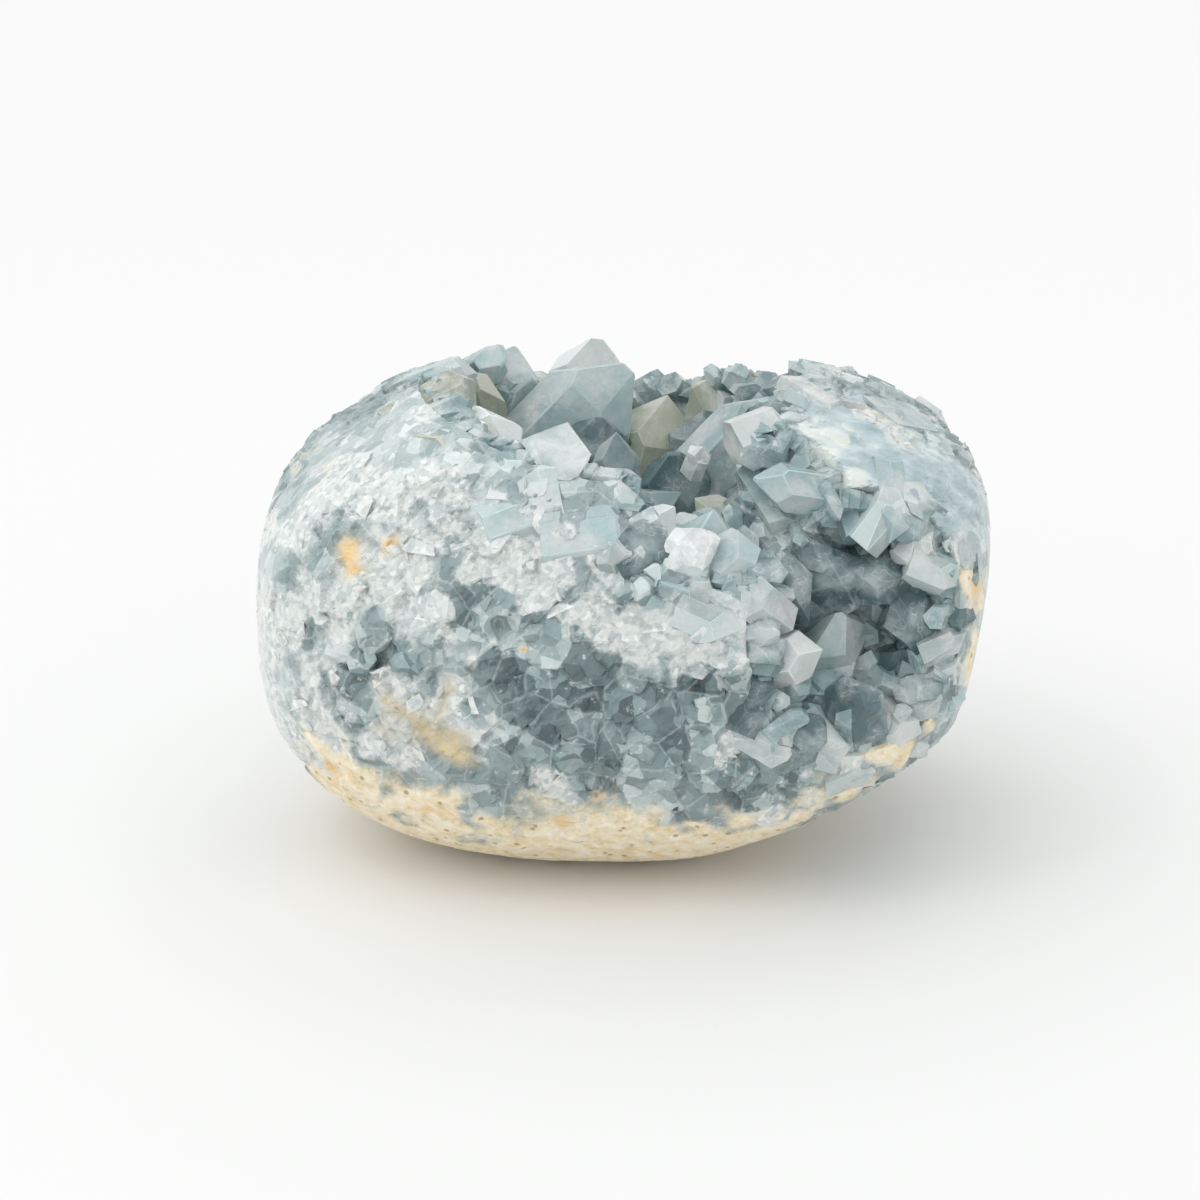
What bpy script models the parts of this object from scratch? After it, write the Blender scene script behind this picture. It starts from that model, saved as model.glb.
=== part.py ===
"""Celestite geode: a ground nodule, open at the top and at the front right, lined with crystals.

Metres, +Z up, +X to the right and +Y away from the front. The origin is the middle of the
small flat spot that the nodule rests on. The sizes named at the top are in millimetres.
"""

import math
import random

import bmesh
import bpy
from mathutils import Euler, Matrix, Vector, noise

MM = 0.001

# Nodule: a full ellipsoid whose sides were ground flatter on a wheel
CENTRE = Vector((8, 0, 48))
HALF_SIZES = (79, 54, 50)
FULLNESS = 2.5
CORNER_SHARPNESS = 20
GROUND_FLATS = (
    # direction outwards, distance from the centre
    ((0.49, -0.10, -0.87), 50.5),
    ((0.98, 0.00, -0.19), 67.5),
    ((-0.59, -0.10, 0.80), 63.0),
    ((-0.77, -0.10, -0.62), 73.0),
    ((-1.00, 0.00, 0.00), 75.0),
    ((0.35, 0.93, 0.10), 53.0),
    ((-0.50, 0.80, -0.33), 57.0),
)
UNDULATION = 0.5
UNDULATION_LENGTH = 22
NODULE_CUTS = 14
FACET_SHIFT = 0.035
FACET_RELIEF = 0.45
SMOOTH_SIDE = Vector((-0.85, -0.1, 0.5))
SMOOTH_SPREAD = 0.5

# Voids left between crystals: heading and height angle from the centre, size
VOIDS = {
    "left": (-135, 5, 8),
    "middle": (-114, 12, 6),
    "middle_top": (-112, 16, 4),
    "rim_left": (-126, 14, 4),
    "base_front": (-97, -18, 6),
    "base_back": (70, -12, 7),
    "back": (118, 14, 6),
}
SMALL_VOIDS = 16
SMALL_VOID_SIZES = (2.5, 4.5)
SMALL_VOID_HEIGHTS = (-42, -8)

# Flake of matrix along the front of the base
FLAKE_CENTRE = Vector((-13, -25, 3.7))
FLAKE_SIZE = (17, 12, 1.8)
FLAKE_TURN = Euler((math.radians(-14), math.radians(7), math.radians(-9)))

# Hollow: lobes that run into one another, each a centre, half sizes and a fullness
LOBES = {
    "bowl": ((7, 4, 96), (40, 46, 46), 2.2),
    "trough": ((52, 28, 90), (26, 20, 18), 2.0),
    "channel": ((27, -40, 84), (23, 18, 20), 2.0),
    "notch": ((51, -50, 60), (22, 24, 27), 2.6),
}
WALL_LUMP = 0.06
WALL_LUMP_LENGTH = 0.3
GAP = 0.3
LINING = 4.5
RIM_MARGIN = 0.5

# Crystal: angles of the faces of a celestine crystal that grows along its a axis
PRISM_ANGLE = math.radians(52.1)
POINT_ANGLE = math.radians(38.0)
ROOF_ANGLE = math.radians(50.6)
MODEL_WIDTH = 0.8
MODEL_THICKNESS = 0.6
ROOT = 0.5
FRONT = Vector((0, -1, 0.2))

# Habits, for a crystal one unit long: how far out each flat and prism side stands, as a share
# of its half size, how far below the tip each point and roof face passes, and where the tip ends
HABITS = {
    "chisel": ((1.00, 0.90), (0.95, 0.80, 0.90, 1.00), (0.00, 0.06), (0.10, 0.02), 1.00),
    "pointed": ((0.90, 1.05), (0.80, 0.95, 0.85, 0.90), (0.03, 0.00), (0.00, 0.03), 1.00),
    "blunt": ((1.05, 0.95), (1.00, 0.90, 0.85, 0.95), (0.00, 0.02), (0.04, 0.00), 0.93),
    "one_sided": ((0.95, 1.00), (0.85, 1.00, 1.00, 0.80), (0.00, 0.20), (0.02, 0.12), 1.00),
    "roofed": ((1.00, 1.00), (0.90, 0.85, 1.00, 0.90), (0.14, 0.10), (0.00, 0.00), 1.00),
    "broken": ((0.90, 0.95), (1.00, 0.85, 0.80, 0.95), (0.02, 0.10), (0.12, 0.00), 0.90),
}

# Large crystals: foot in the wall, tip, width, thickness, turn of the broad face from the front
LARGE_CRYSTALS = {
    "tall_clear": ((-3, 43, 70), (1, 44, 93), 15, 10, 20),
    "left_lump": ((-20, 34, 70), (-15, 38, 91), 16, 12, -15),
    "blue_plate": ((-16, 24, 64), (10, 30, 90), 19, 9, 0),
    "olive_block": ((10, 32, 62), (15, 33, 84), 15, 12, 25),
    "back_block": ((12, 44, 68), (15, 45, 86), 13, 10, -20),
    "pale_block": ((24, 43, 66), (25, 46, 83), 10, 9, 10),
    "pale_point": ((33, 42, 64), (31, 46, 82), 9, 7, 40),
    "milky_back": ((40, 38, 64), (43, 44, 83), 12, 9, 0),
    "green_point": ((47, 36, 66), (50, 41, 82), 10, 9, 30),
    "yellow_bud": ((53, 34, 70), (54, 38, 81), 6, 5, 0),
    "blue_bud": ((57, 30, 70), (60, 35, 82), 10, 8, -20),
    "white_lump": ((66, 20, 70), (71, 24, 83), 13, 10, 15),
    "dark_facet": ((25, 30, 60), (25, 27, 82), 16, 12, -30),
    "leaning_clear": ((18, 14, 60), (43, 18, 86), 17, 11, -10),
    "green_block": ((-27, 8, 58), (-22, 3, 86), 15, 11, 0),
    "teal_bud": ((-37, 12, 68), (-31, 6, 84), 8, 6, 20),
    "yellow_small": ((-18, 20, 60), (-15, 12, 80), 7, 5, 35),
    "dark_upper": ((-4, 28, 58), (1, 22, 83), 19, 14, 15),
    "dark_lower": ((-8, 12, 50), (-2, 2, 73), 21, 15, -20),
    "small_clear": ((6, 18, 60), (6, 11, 80), 9, 7, 10),
    "grey_block": ((18, 14, 54), (17, 5, 79), 13, 11, -5),
    "green_long": ((-1, -20, 68), (20, -17, 79), 9, 8, 0),
    "grey_centre": ((34, -6, 58), (33, -18, 80), 15, 12, 20),
    "grey_right": ((46, -14, 62), (41, -24, 80), 14, 10, -25),
    "round_dark": ((50, -14, 58), (50, -27, 76), 16, 13, 0),
    "glint_block": ((22, -30, 50), (24, -42, 81), 15, 14, 10),
    "diamond": ((61, -22, 44), (60, -33, 72), 16, 12, -10),
    "slate_prism": ((55, -20, 46), (54, -30, 65), 9, 8, 15),
    "pale_yellow": ((46, -26, 54), (46, -38, 66), 10, 8, 15),
    "large_blue": ((46, -26, 36), (46, -38, 62), 16, 13, 10),
    "grey_low": ((61, -26, 42), (58, -38, 52), 11, 10, 0),
    "slate_left": ((38, -22, 42), (37, -33, 57), 11, 10, -15),
    "edge_grey": ((30, -28, 48), (29, -41, 67), 11, 10, 20),
    "dark_triangle": ((37, -30, 24), (36, -43, 46), 21, 13, 0),
}
SCATTER_COUNTS = {"bowl": 150, "trough": 60, "channel": 50, "notch": 90}
SCATTER_LENGTHS = (10, 18)
SCATTER_SPACING = 7.5
LEAN = 0.45
TIP_PROUD = 1.5
SHORTEST = 5
SEED = 12


def ground_radius(direction):
    """Distance from the nodule's centre to its surface, with every flat blended in."""
    full = sum(abs(part / half) ** FULLNESS for part, half in zip(direction, HALF_SIZES))
    total = full ** (CORNER_SHARPNESS / FULLNESS)
    for outward, distance in GROUND_FLATS:
        facing = direction.dot(Vector(outward).normalized())
        total += (max(facing, 0) / distance) ** CORNER_SHARPNESS
    return total ** (-1 / CORNER_SHARPNESS)


def nodule_point(direction):
    point = CENTRE + direction * ground_radius(direction)
    wave = noise.noise(point / UNDULATION_LENGTH)
    return point + direction * UNDULATION * wave


def facet_point(direction, rng):
    """A corner between broken crystal faces, shifted off the smooth form; one side was polished."""
    polish = (direction - SMOOTH_SIDE.normalized()).length / SMOOTH_SPREAD
    rough = min(max(polish - 1, 0), 1)
    shift = Vector(rng.uniform(-1, 1) for _ in range(3)) * FACET_SHIFT * rough
    turned = (direction + shift).normalized()
    return nodule_point(turned) + turned * FACET_RELIEF * rough * rng.uniform(-1, 1)


def lobe_point(name, direction, inset=0):
    """A point of a lobe's lumpy wall, moved in towards its centre by the inset.

    A wall set in deeper than the gap has lumps of its own, so that the lining varies."""
    centre, halves, fullness = LOBES[name]
    reach = sum(abs(part / (half - inset)) ** fullness for part, half in zip(direction, halves))
    place = direction / WALL_LUMP_LENGTH + Vector(centre)
    if inset > GAP:
        place += Vector(halves)
    lump = 1 + WALL_LUMP * noise.noise(place)
    return Vector(centre) + direction * lump * reach ** (-1 / fullness)


def inside_lobe(name, point, inset=0):
    centre, halves, fullness = LOBES[name]
    offset = point - Vector(centre)
    reach = sum(abs(part / (half - inset)) ** fullness for part, half in zip(offset, halves))
    return reach < 1


def inside_nodule(point, margin=0):
    offset = point - CENTRE
    return offset.length < ground_radius(offset.normalized()) - margin and point.z > margin


def new_collection(name):
    collection = bpy.data.collections.new(name)
    bpy.context.scene.collection.children.link(collection)
    return collection


def new_object(name, bm, collection):
    """Turns a bmesh in millimetres into an object in metres."""
    bmesh.ops.scale(bm, vec=(MM, MM, MM), verts=bm.verts[:])
    bmesh.ops.recalc_face_normals(bm, faces=bm.faces[:])
    mesh = bpy.data.meshes.new(name)
    bm.to_mesh(mesh)
    bm.free()
    obj = bpy.data.objects.new(name, mesh)
    collection.objects.link(obj)
    return obj


def as_cutter(obj):
    obj.hide_render = True
    obj.display_type = "WIRE"
    return obj


def add_boolean(obj, operation, other):
    modifier = obj.modifiers.new(operation.title(), "BOOLEAN")
    modifier.operation = operation
    modifier.solver = "EXACT"
    if isinstance(other, bpy.types.Collection):
        modifier.operand_type = "COLLECTION"
        modifier.collection = other
    else:
        modifier.object = other


def add_material(obj, name, colour, roughness):
    material = bpy.data.materials.new(name)
    material.use_nodes = True
    shader = material.node_tree.nodes["Principled BSDF"]
    shader.inputs["Base Color"].default_value = (*colour, 1)
    shader.inputs["Roughness"].default_value = roughness
    obj.data.materials.append(material)


def cut_away(bm, point, normal):
    """Removes what lies past a plane and closes the cut with one flat face."""
    geometry = bm.verts[:] + bm.edges[:] + bm.faces[:]
    cut = bmesh.ops.bisect_plane(
        bm, geom=geometry, plane_co=point, plane_no=normal, clear_outer=True
    )
    edges = [item for item in cut["geom_cut"] if isinstance(item, bmesh.types.BMEdge)]
    if edges:
        bmesh.ops.contextual_create(bm, geom=edges)


def nodule_mesh():
    rng = random.Random(SEED)
    bm = bmesh.new()
    bmesh.ops.create_cube(bm, size=2)
    bmesh.ops.subdivide_edges(bm, edges=bm.edges[:], cuts=NODULE_CUTS, use_grid_fill=True)
    for vert in bm.verts:
        even = Vector(math.tan(part * math.pi / 4) for part in vert.co)
        vert.co = facet_point(even.normalized(), rng)
    cut_away(bm, Vector((0, 0, 0)), Vector((0, 0, -1)))
    bmesh.ops.triangulate(bm, faces=[face for face in bm.faces if len(face.verts) == 4])
    return bm


def lobe_mesh(name, inset, subdivisions):
    bm = bmesh.new()
    bmesh.ops.create_icosphere(bm, subdivisions=subdivisions, radius=1)
    for vert in bm.verts:
        vert.co = lobe_point(name, vert.co.normalized(), inset)
    return bm


def hollow(name, inset, collection):
    """The bowl, with the other lobes joined to it, as one cutter."""
    body = as_cutter(new_object(name + "_bowl", lobe_mesh("bowl", inset, 3), collection))
    for lobe in ("trough", "channel", "notch"):
        other = as_cutter(new_object(f"{name}_{lobe}", lobe_mesh(lobe, inset, 2), collection))
        add_boolean(body, "UNION", other)
    return body


def crystal_mesh(habit, length, width, thickness):
    """A blocky crystal that grows along +Z: prism and flat sides, then a point of four faces."""
    flats, prisms, points, roofs, end = HABITS[habit]
    tip = Vector((0, 0, 1))
    sides = [(tip * end, tip), (-tip * ROOT, -tip)]
    for index, side in enumerate((-1, 1)):
        flat = Vector((0, side, 0))
        sides.append((flat * MODEL_THICKNESS / 2 * flats[index], flat))
        for number, edge in enumerate((-1, 1)):
            prism = Vector((edge * math.sin(PRISM_ANGLE), side * math.cos(PRISM_ANGLE), 0))
            sides.append((prism * MODEL_WIDTH / 2 * prisms[2 * index + number], prism))
        point = Vector((side * math.sin(POINT_ANGLE), 0, math.cos(POINT_ANGLE)))
        sides.append((tip - point * points[index], point))
        roof = Vector((0, side * math.sin(ROOF_ANGLE), math.cos(ROOF_ANGLE)))
        sides.append((tip - roof * roofs[index], roof))
    bm = bmesh.new()
    bmesh.ops.create_cube(bm, size=4)
    for point, normal in sides:
        cut_away(bm, point, normal)
    size = (width / MODEL_WIDTH, thickness / MODEL_THICKNESS, length)
    bmesh.ops.scale(bm, vec=size, verts=bm.verts[:])
    return bm


def block_mesh(size, rng):
    """A small six-sided block with skewed sides."""
    bm = bmesh.new()
    bmesh.ops.create_cube(bm, size=4 * size)
    for axis in range(3):
        for side in (-1, 1):
            normal = Vector(rng.uniform(-0.35, 0.35) for _ in range(3))
            normal[axis] = side
            cut_away(bm, normal.normalized() * size / 2 * rng.uniform(0.7, 1.0), normal)
    return bm


def flake_mesh():
    bm = bmesh.new()
    bmesh.ops.create_cube(bm, size=1)
    bmesh.ops.scale(bm, vec=FLAKE_SIZE, verts=bm.verts[:])
    place = Matrix.Translation(FLAKE_CENTRE) @ FLAKE_TURN.to_matrix().to_4x4()
    bmesh.ops.transform(bm, matrix=place, verts=bm.verts[:])
    return bm


def stand(bm, foot, axis, turn):
    """Moves a crystal from +Z at the origin to its foot."""
    bmesh.ops.transform(bm, matrix=crystal_frame(foot, axis, turn), verts=bm.verts[:])
    return bm


def crystal_frame(foot, axis, turn):
    """Stands a crystal on its foot along the axis, its broad face turned from the front."""
    across = FRONT - axis * FRONT.dot(axis)
    face = Matrix.Rotation(turn, 3, axis) @ across.normalized()
    frame = Matrix((face.cross(axis), face, axis)).transposed()
    return Matrix.Translation(foot) @ frame.to_4x4()


def wall_direction(heading, height):
    return Vector(
        (
            math.cos(math.radians(heading)) * math.cos(math.radians(height)),
            math.sin(math.radians(heading)) * math.cos(math.radians(height)),
            math.sin(math.radians(height)),
        )
    )


def sticks_out(foot, axis, length, broad):
    """Whether a crystal's tip or its side rises more than a little out of the nodule's form."""
    if not inside_nodule(foot + axis * length, -TIP_PROUD):
        return True
    side = length * broad / 2
    return not inside_nodule(foot + axis * length * 0.6, side - TIP_PROUD)


def crystal_places(rng):
    """Yields each crystal's foot, axis, length, width, thickness and turn."""
    taken = []
    for foot, tip, width, thickness, turn in LARGE_CRYSTALS.values():
        foot = Vector(foot)
        axis = Vector(tip) - foot
        taken.append((foot, (width + thickness) / 4))
        yield foot, axis.normalized(), axis.length, width, thickness, math.radians(turn)
    for lobe, count in SCATTER_COUNTS.items():
        for direction in even_directions(count):
            foot = lobe_point(lobe, direction)
            length = rng.uniform(*SCATTER_LENGTHS)
            lean = Vector((rng.uniform(-1, 1), rng.uniform(-1, 1), rng.uniform(-0.4, 1.2)))
            turn = rng.uniform(0, math.pi)
            broad = rng.uniform(0.6, 0.95)
            thin = rng.uniform(0.45, 0.75)
            if not inside_nodule(foot, RIM_MARGIN):
                continue
            if any(other != lobe and inside_lobe(other, foot, 2) for other in LOBES):
                continue
            if any((foot - place).length < SCATTER_SPACING / 2 + room for place, room in taken):
                continue
            taken.append((foot, SCATTER_SPACING / 2))
            axis = (-direction + lean * LEAN).normalized()
            while sticks_out(foot, axis, length, broad) and length > SHORTEST:
                length -= 1
            yield foot, axis, length, length * broad, length * thin, turn


def even_directions(count):
    """Directions spread evenly over a sphere."""
    for index in range(count):
        height = math.asin(1 - 2 * (index + 0.5) / count)
        yield wall_direction(math.degrees(index * math.pi * (3 - math.sqrt(5))), math.degrees(height))


def add_voids(collection, rng):
    places = [(wall_direction(heading, height), size) for heading, height, size in VOIDS.values()]
    for _ in range(SMALL_VOIDS):
        direction = wall_direction(rng.uniform(-180, 180), rng.uniform(*SMALL_VOID_HEIGHTS))
        places.append((direction, rng.uniform(*SMALL_VOID_SIZES)))
    for number, (direction, size) in enumerate(places):
        bm = stand(block_mesh(size, rng), nodule_point(direction), direction, rng.uniform(0, 3))
        as_cutter(new_object(f"void_{number:02d}", bm, collection))


def keep_main_body(obj):
    """Applies the modifiers, then drops closed pockets between crystals and loose chips."""
    graph = bpy.context.evaluated_depsgraph_get()
    mesh = bpy.data.meshes.new_from_object(obj.evaluated_get(graph))
    obj.modifiers.clear()
    obj.data = mesh
    bm = bmesh.new()
    bm.from_mesh(mesh)
    waiting = set(bm.verts)
    bodies = []
    while waiting:
        body = {waiting.pop()}
        edge = list(body)
        while edge:
            near = {link.other_vert(vert) for vert in edge for link in vert.link_edges} - body
            body |= near
            edge = list(near)
        waiting -= body
        bodies.append(body)
    main = max(bodies, key=len)
    spare = [vert for vert in bm.verts if vert not in main]
    bmesh.ops.delete(bm, geom=spare, context="VERTS")
    bm.to_mesh(mesh)
    bm.free()


def build():
    for obj in list(bpy.data.objects):
        bpy.data.objects.remove(obj)
    parts = new_collection("celestite_geode")
    cutters = new_collection("cutters")
    crystals = new_collection("crystals")

    voids = new_collection("voids")
    rng = random.Random(SEED)
    add_voids(voids, rng)
    flake = as_cutter(new_object("flake", flake_mesh(), cutters))
    nodule = new_object("polished_nodule", nodule_mesh(), parts)
    add_material(nodule, "ground_matrix", (0.56, 0.6, 0.6), 0.35)
    add_boolean(nodule, "UNION", flake)
    add_boolean(nodule, "DIFFERENCE", voids)
    add_boolean(nodule, "DIFFERENCE", hollow("hollow", 0, cutters))

    habits = list(HABITS)
    for number, (foot, axis, length, width, thickness, turn) in enumerate(crystal_places(rng)):
        bm = crystal_mesh(habits[number % len(habits)], length, width, thickness)
        stand(bm, foot, axis, turn)
        as_cutter(new_object(f"crystal_{number:03d}", bm, crystals))

    crust = new_object("crystal_crust", nodule_mesh(), parts)
    add_material(crust, "celestine", (0.4, 0.5, 0.52), 0.15)
    add_boolean(crust, "DIFFERENCE", hollow("lining", LINING, cutters))
    add_boolean(crust, "UNION", crystals)
    add_boolean(crust, "INTERSECT", hollow("crust_room", GAP, cutters))
    keep_main_body(crust)


build()
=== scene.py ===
import math
import random

import bpy
import numpy as np
from mathutils import Matrix, Vector, noise


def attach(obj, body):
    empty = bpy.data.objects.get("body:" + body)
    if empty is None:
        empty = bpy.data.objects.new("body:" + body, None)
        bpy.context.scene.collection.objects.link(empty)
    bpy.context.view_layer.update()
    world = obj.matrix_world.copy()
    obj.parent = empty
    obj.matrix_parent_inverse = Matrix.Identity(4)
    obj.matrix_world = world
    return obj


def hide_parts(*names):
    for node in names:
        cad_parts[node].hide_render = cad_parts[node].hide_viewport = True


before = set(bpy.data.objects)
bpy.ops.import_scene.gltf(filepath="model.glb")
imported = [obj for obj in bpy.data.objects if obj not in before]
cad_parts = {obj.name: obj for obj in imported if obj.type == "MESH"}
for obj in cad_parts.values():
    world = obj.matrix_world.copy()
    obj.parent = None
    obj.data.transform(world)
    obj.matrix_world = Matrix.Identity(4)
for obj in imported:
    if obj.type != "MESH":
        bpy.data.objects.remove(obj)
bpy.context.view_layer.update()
mm = 0.001


def linearColour(code):
    parts = [int(code[i:i + 2], 16) / 255 for i in (1, 3, 5)]
    return (*[p / 12.92 if p <= 0.04045 else ((p + 0.055) / 1.055) ** 2.4 for p in parts], 1)


def addNode(tree, kind, inputs=None, stops=None, **settings):
    node = tree.nodes.new(kind)
    for name, value in settings.items():
        setattr(node, name, value)
    for name, value in (inputs or {}).items():
        if isinstance(value, bpy.types.NodeSocket):
            tree.links.new(value, node.inputs[name])
        else:
            node.inputs[name].default_value = value
    if stops:
        ramp = node.color_ramp
        while len(ramp.elements) < len(stops):
            ramp.elements.new(1)
        for element, (place, code) in zip(ramp.elements, stops):
            element.position = place
            element.color = linearColour(code)
    return node


def mathNode(tree, operation, first, second=0.0):
    return addNode(tree, "ShaderNodeMath", {0: first, 1: second}, operation=operation).outputs[0]


def mapRange(tree, value, start, end, low=0.0, high=1.0):
    return addNode(tree, "ShaderNodeMapRange", {
        "Value": value, "From Min": start, "From Max": end, "To Min": low, "To Max": high}).outputs[0]


def noiseNode(tree, place, size, detail=2, rough=0.5, distortion=0.0):  # size in mm
    return addNode(tree, "ShaderNodeTexNoise", {
        "Vector": place, "Scale": 1 / (size * mm), "Detail": detail, "Roughness": rough, "Distortion": distortion})


def cellNode(tree, place, size, **settings):  # size in mm
    return addNode(tree, "ShaderNodeTexVoronoi", {"Vector": place, "Scale": 1 / (size * mm)}, **settings)


def fieldNode(tree, name):
    return addNode(tree, "ShaderNodeAttribute", attribute_name=name).outputs["Fac"]


def mixColour(tree, factor, first, second):
    return addNode(
        tree, "ShaderNodeMix", {"Factor": factor, "A": first, "B": second}, data_type="RGBA").outputs["Result"]


def deselectAll():
    bpy.ops.object.select_all(action="DESELECT")


def pickOne(piece):
    deselectAll()
    piece.select_set(True)
    bpy.context.view_layer.objects.active = piece


def applyAll(piece):
    pickOne(piece)
    for modifier in list(piece.modifiers):
        bpy.ops.object.modifier_apply(modifier=modifier.name)


def readPoints(piece):  # in mm
    flat = np.empty(len(piece.data.vertices) * 3)
    piece.data.vertices.foreach_get("co", flat)
    return flat.reshape(-1, 3) / mm


def writePoints(piece, points):
    piece.data.vertices.foreach_set("co", (points * mm).ravel())
    piece.data.update()


def readNormals(piece):
    flat = np.empty(len(piece.data.vertices) * 3, np.float32)
    piece.data.vertex_normals.foreach_get("vector", flat)
    return flat.reshape(-1, 3).astype(float)


def writeField(piece, name, values):
    attribute = piece.data.attributes.new(name, "FLOAT", "POINT")
    attribute.data.foreach_set("value", np.asarray(values, np.float32))


def noiseField(points, length, shift=0):  # about -0.5 to 0.5
    return np.array([noise.noise(Vector(p) / length + Vector((shift, 0, 0))) for p in points])


def smoothStep(values, low, high):
    t = np.clip((values - low) / (high - low), 0, 1)
    return t * t * (3 - 2 * t)


# The camera stands where the photograph's did, and light comes softly from the upper left
studio = {
    "target": (2.4, 0, 47.4), "elevation": 20, "distance": 575, "lens": 85,
    "floorSize": 8, "floorColour": "#e8e8e7", "skyColour": "#fcfdfd", "sky": 0.84,
    "softboxes": (  # direction, cosines where it starts and is full, strength
        ((0, 0, 1), (0.0, 1.0), 0.34),
        ((-0.6, -0.25, 0.75), (0.6, 0.97), 0.52),
        ((0.85, 0.15, 0.3), (0.35, 0.9), -0.12),
    ),
    "lamps": (  # place, width in metres, watts: a key and two small ones that only glint on the faces
        ((-420, -320, 900), 0.16, 0.35), ((250, 350, 900), 0.10, 0.12), ((60, -620, 760), 0.08, 0.08),
    ),
}


def aimAt(piece, place):
    piece.rotation_euler = (Vector(place) * mm - piece.location).to_track_quat("-Z", "Y").to_euler()


def buildStudio():
    deselectAll()
    rise = math.radians(studio["elevation"])
    back = Vector((0, -math.cos(rise), math.sin(rise))) * studio["distance"]
    bpy.ops.object.camera_add(location=(Vector(studio["target"]) + back) * mm)
    camera = bpy.context.object
    camera.name = "photoCamera"
    camera.data.lens = studio["lens"]
    camera.data.sensor_width = 36
    aimAt(camera, studio["target"])
    bpy.context.scene.camera = camera
    for place, size, power in studio["lamps"]:
        bpy.ops.object.light_add(type="AREA", location=Vector(place) * mm)
        lamp = bpy.context.object
        lamp.name = "studioLamp"
        lamp.data.shape = "DISK"
        lamp.data.size = size
        lamp.data.energy = power
        aimAt(lamp, studio["target"])
    world = bpy.data.worlds.new("paleStudio")
    world.use_nodes = True
    tree = world.node_tree
    sky = tree.nodes["Background"]
    sky.inputs["Color"].default_value = linearColour(studio["skyColour"])
    way = addNode(tree, "ShaderNodeTexCoord").outputs["Generated"]
    strength = addNode(tree, "ShaderNodeValue").outputs[0]
    strength.default_value = studio["sky"]
    for direction, (start, end), power in studio["softboxes"]:
        facing = addNode(
            tree, "ShaderNodeVectorMath", {0: way, 1: Vector(direction).normalized()}, operation="DOT_PRODUCT")
        patch = addNode(tree, "ShaderNodeMapRange", {
            "Value": facing.outputs["Value"], "From Min": start, "From Max": end, "To Max": power},
            interpolation_type="SMOOTHSTEP")
        strength = mathNode(tree, "ADD", strength, patch.outputs[0])
    tree.links.new(strength, sky.inputs["Strength"])
    bpy.context.scene.world = world
    bpy.context.scene.view_settings.view_transform = "Standard"
    bpy.ops.mesh.primitive_plane_add(size=studio["floorSize"])
    floor = bpy.context.object
    floor.name = "paleFloor"
    paper = bpy.data.materials.new("mattePaper")  # white sweep paper, no shine
    paper.use_nodes = True
    shader = paper.node_tree.nodes["Principled BSDF"]
    shader.inputs["Base Color"].default_value = linearColour(studio["floorColour"])
    shader.inputs["Roughness"].default_value = 0.9
    floor.data.materials.append(paper)


buildStudio()
print("studio ready")


# The nodule's ground form, from the same values as the solid
nodule = {
    "centre": (8, 0, 48), "halfSizes": (79, 54, 50), "fullness": 2.5, "sharpness": 20,
    "flats": (
        ((0.49, -0.10, -0.87), 50.5), ((0.98, 0.00, -0.19), 67.5), ((-0.59, -0.10, 0.80), 63.0),
        ((-0.77, -0.10, -0.62), 73.0), ((-1.00, 0.00, 0.00), 75.0), ((0.35, 0.93, 0.10), 53.0),
        ((-0.50, 0.80, -0.33), 57.0),
    ),
    "voxel": 0.9, "skin": 1.3, "sunk": 0.6, "pitDepth": 1.5, "proud": 0.15,
    "facets": ((7.5, 0.42, "rough"), (3.2, 0.42, "rough"), (1.6, 0.26, "grainy")),  # size, slope, field
    "calm": {"polish": 0.93, "cream": 0.75, "rim": 0.75}, "roughInside": 0.3, "roughBelow": 0.4,
}

hollow = {
    "bowl": ((7, 4, 96), (40, 46, 46), 2.2),
    "trough": ((52, 28, 90), (26, 20, 18), 2.0),
    "channel": ((27, -40, 84), (23, 18, 20), 2.0),
    "notch": ((51, -50, 60), (22, 24, 27), 2.6),
}
lining = {
    "inset": 4.5, "thickness": 3.6, "voxel": 0.9, "lump": 0.06, "lumpLength": 0.3, "cut": 1.6, "flush": -0.4,
    "facets": ((4.5, 0.35, "rough"), (4.5 / 2.3, 0.3, "rough")), "fields": {"rough": 1, "tone": 0.3, "facet": 0.5},
}

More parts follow.
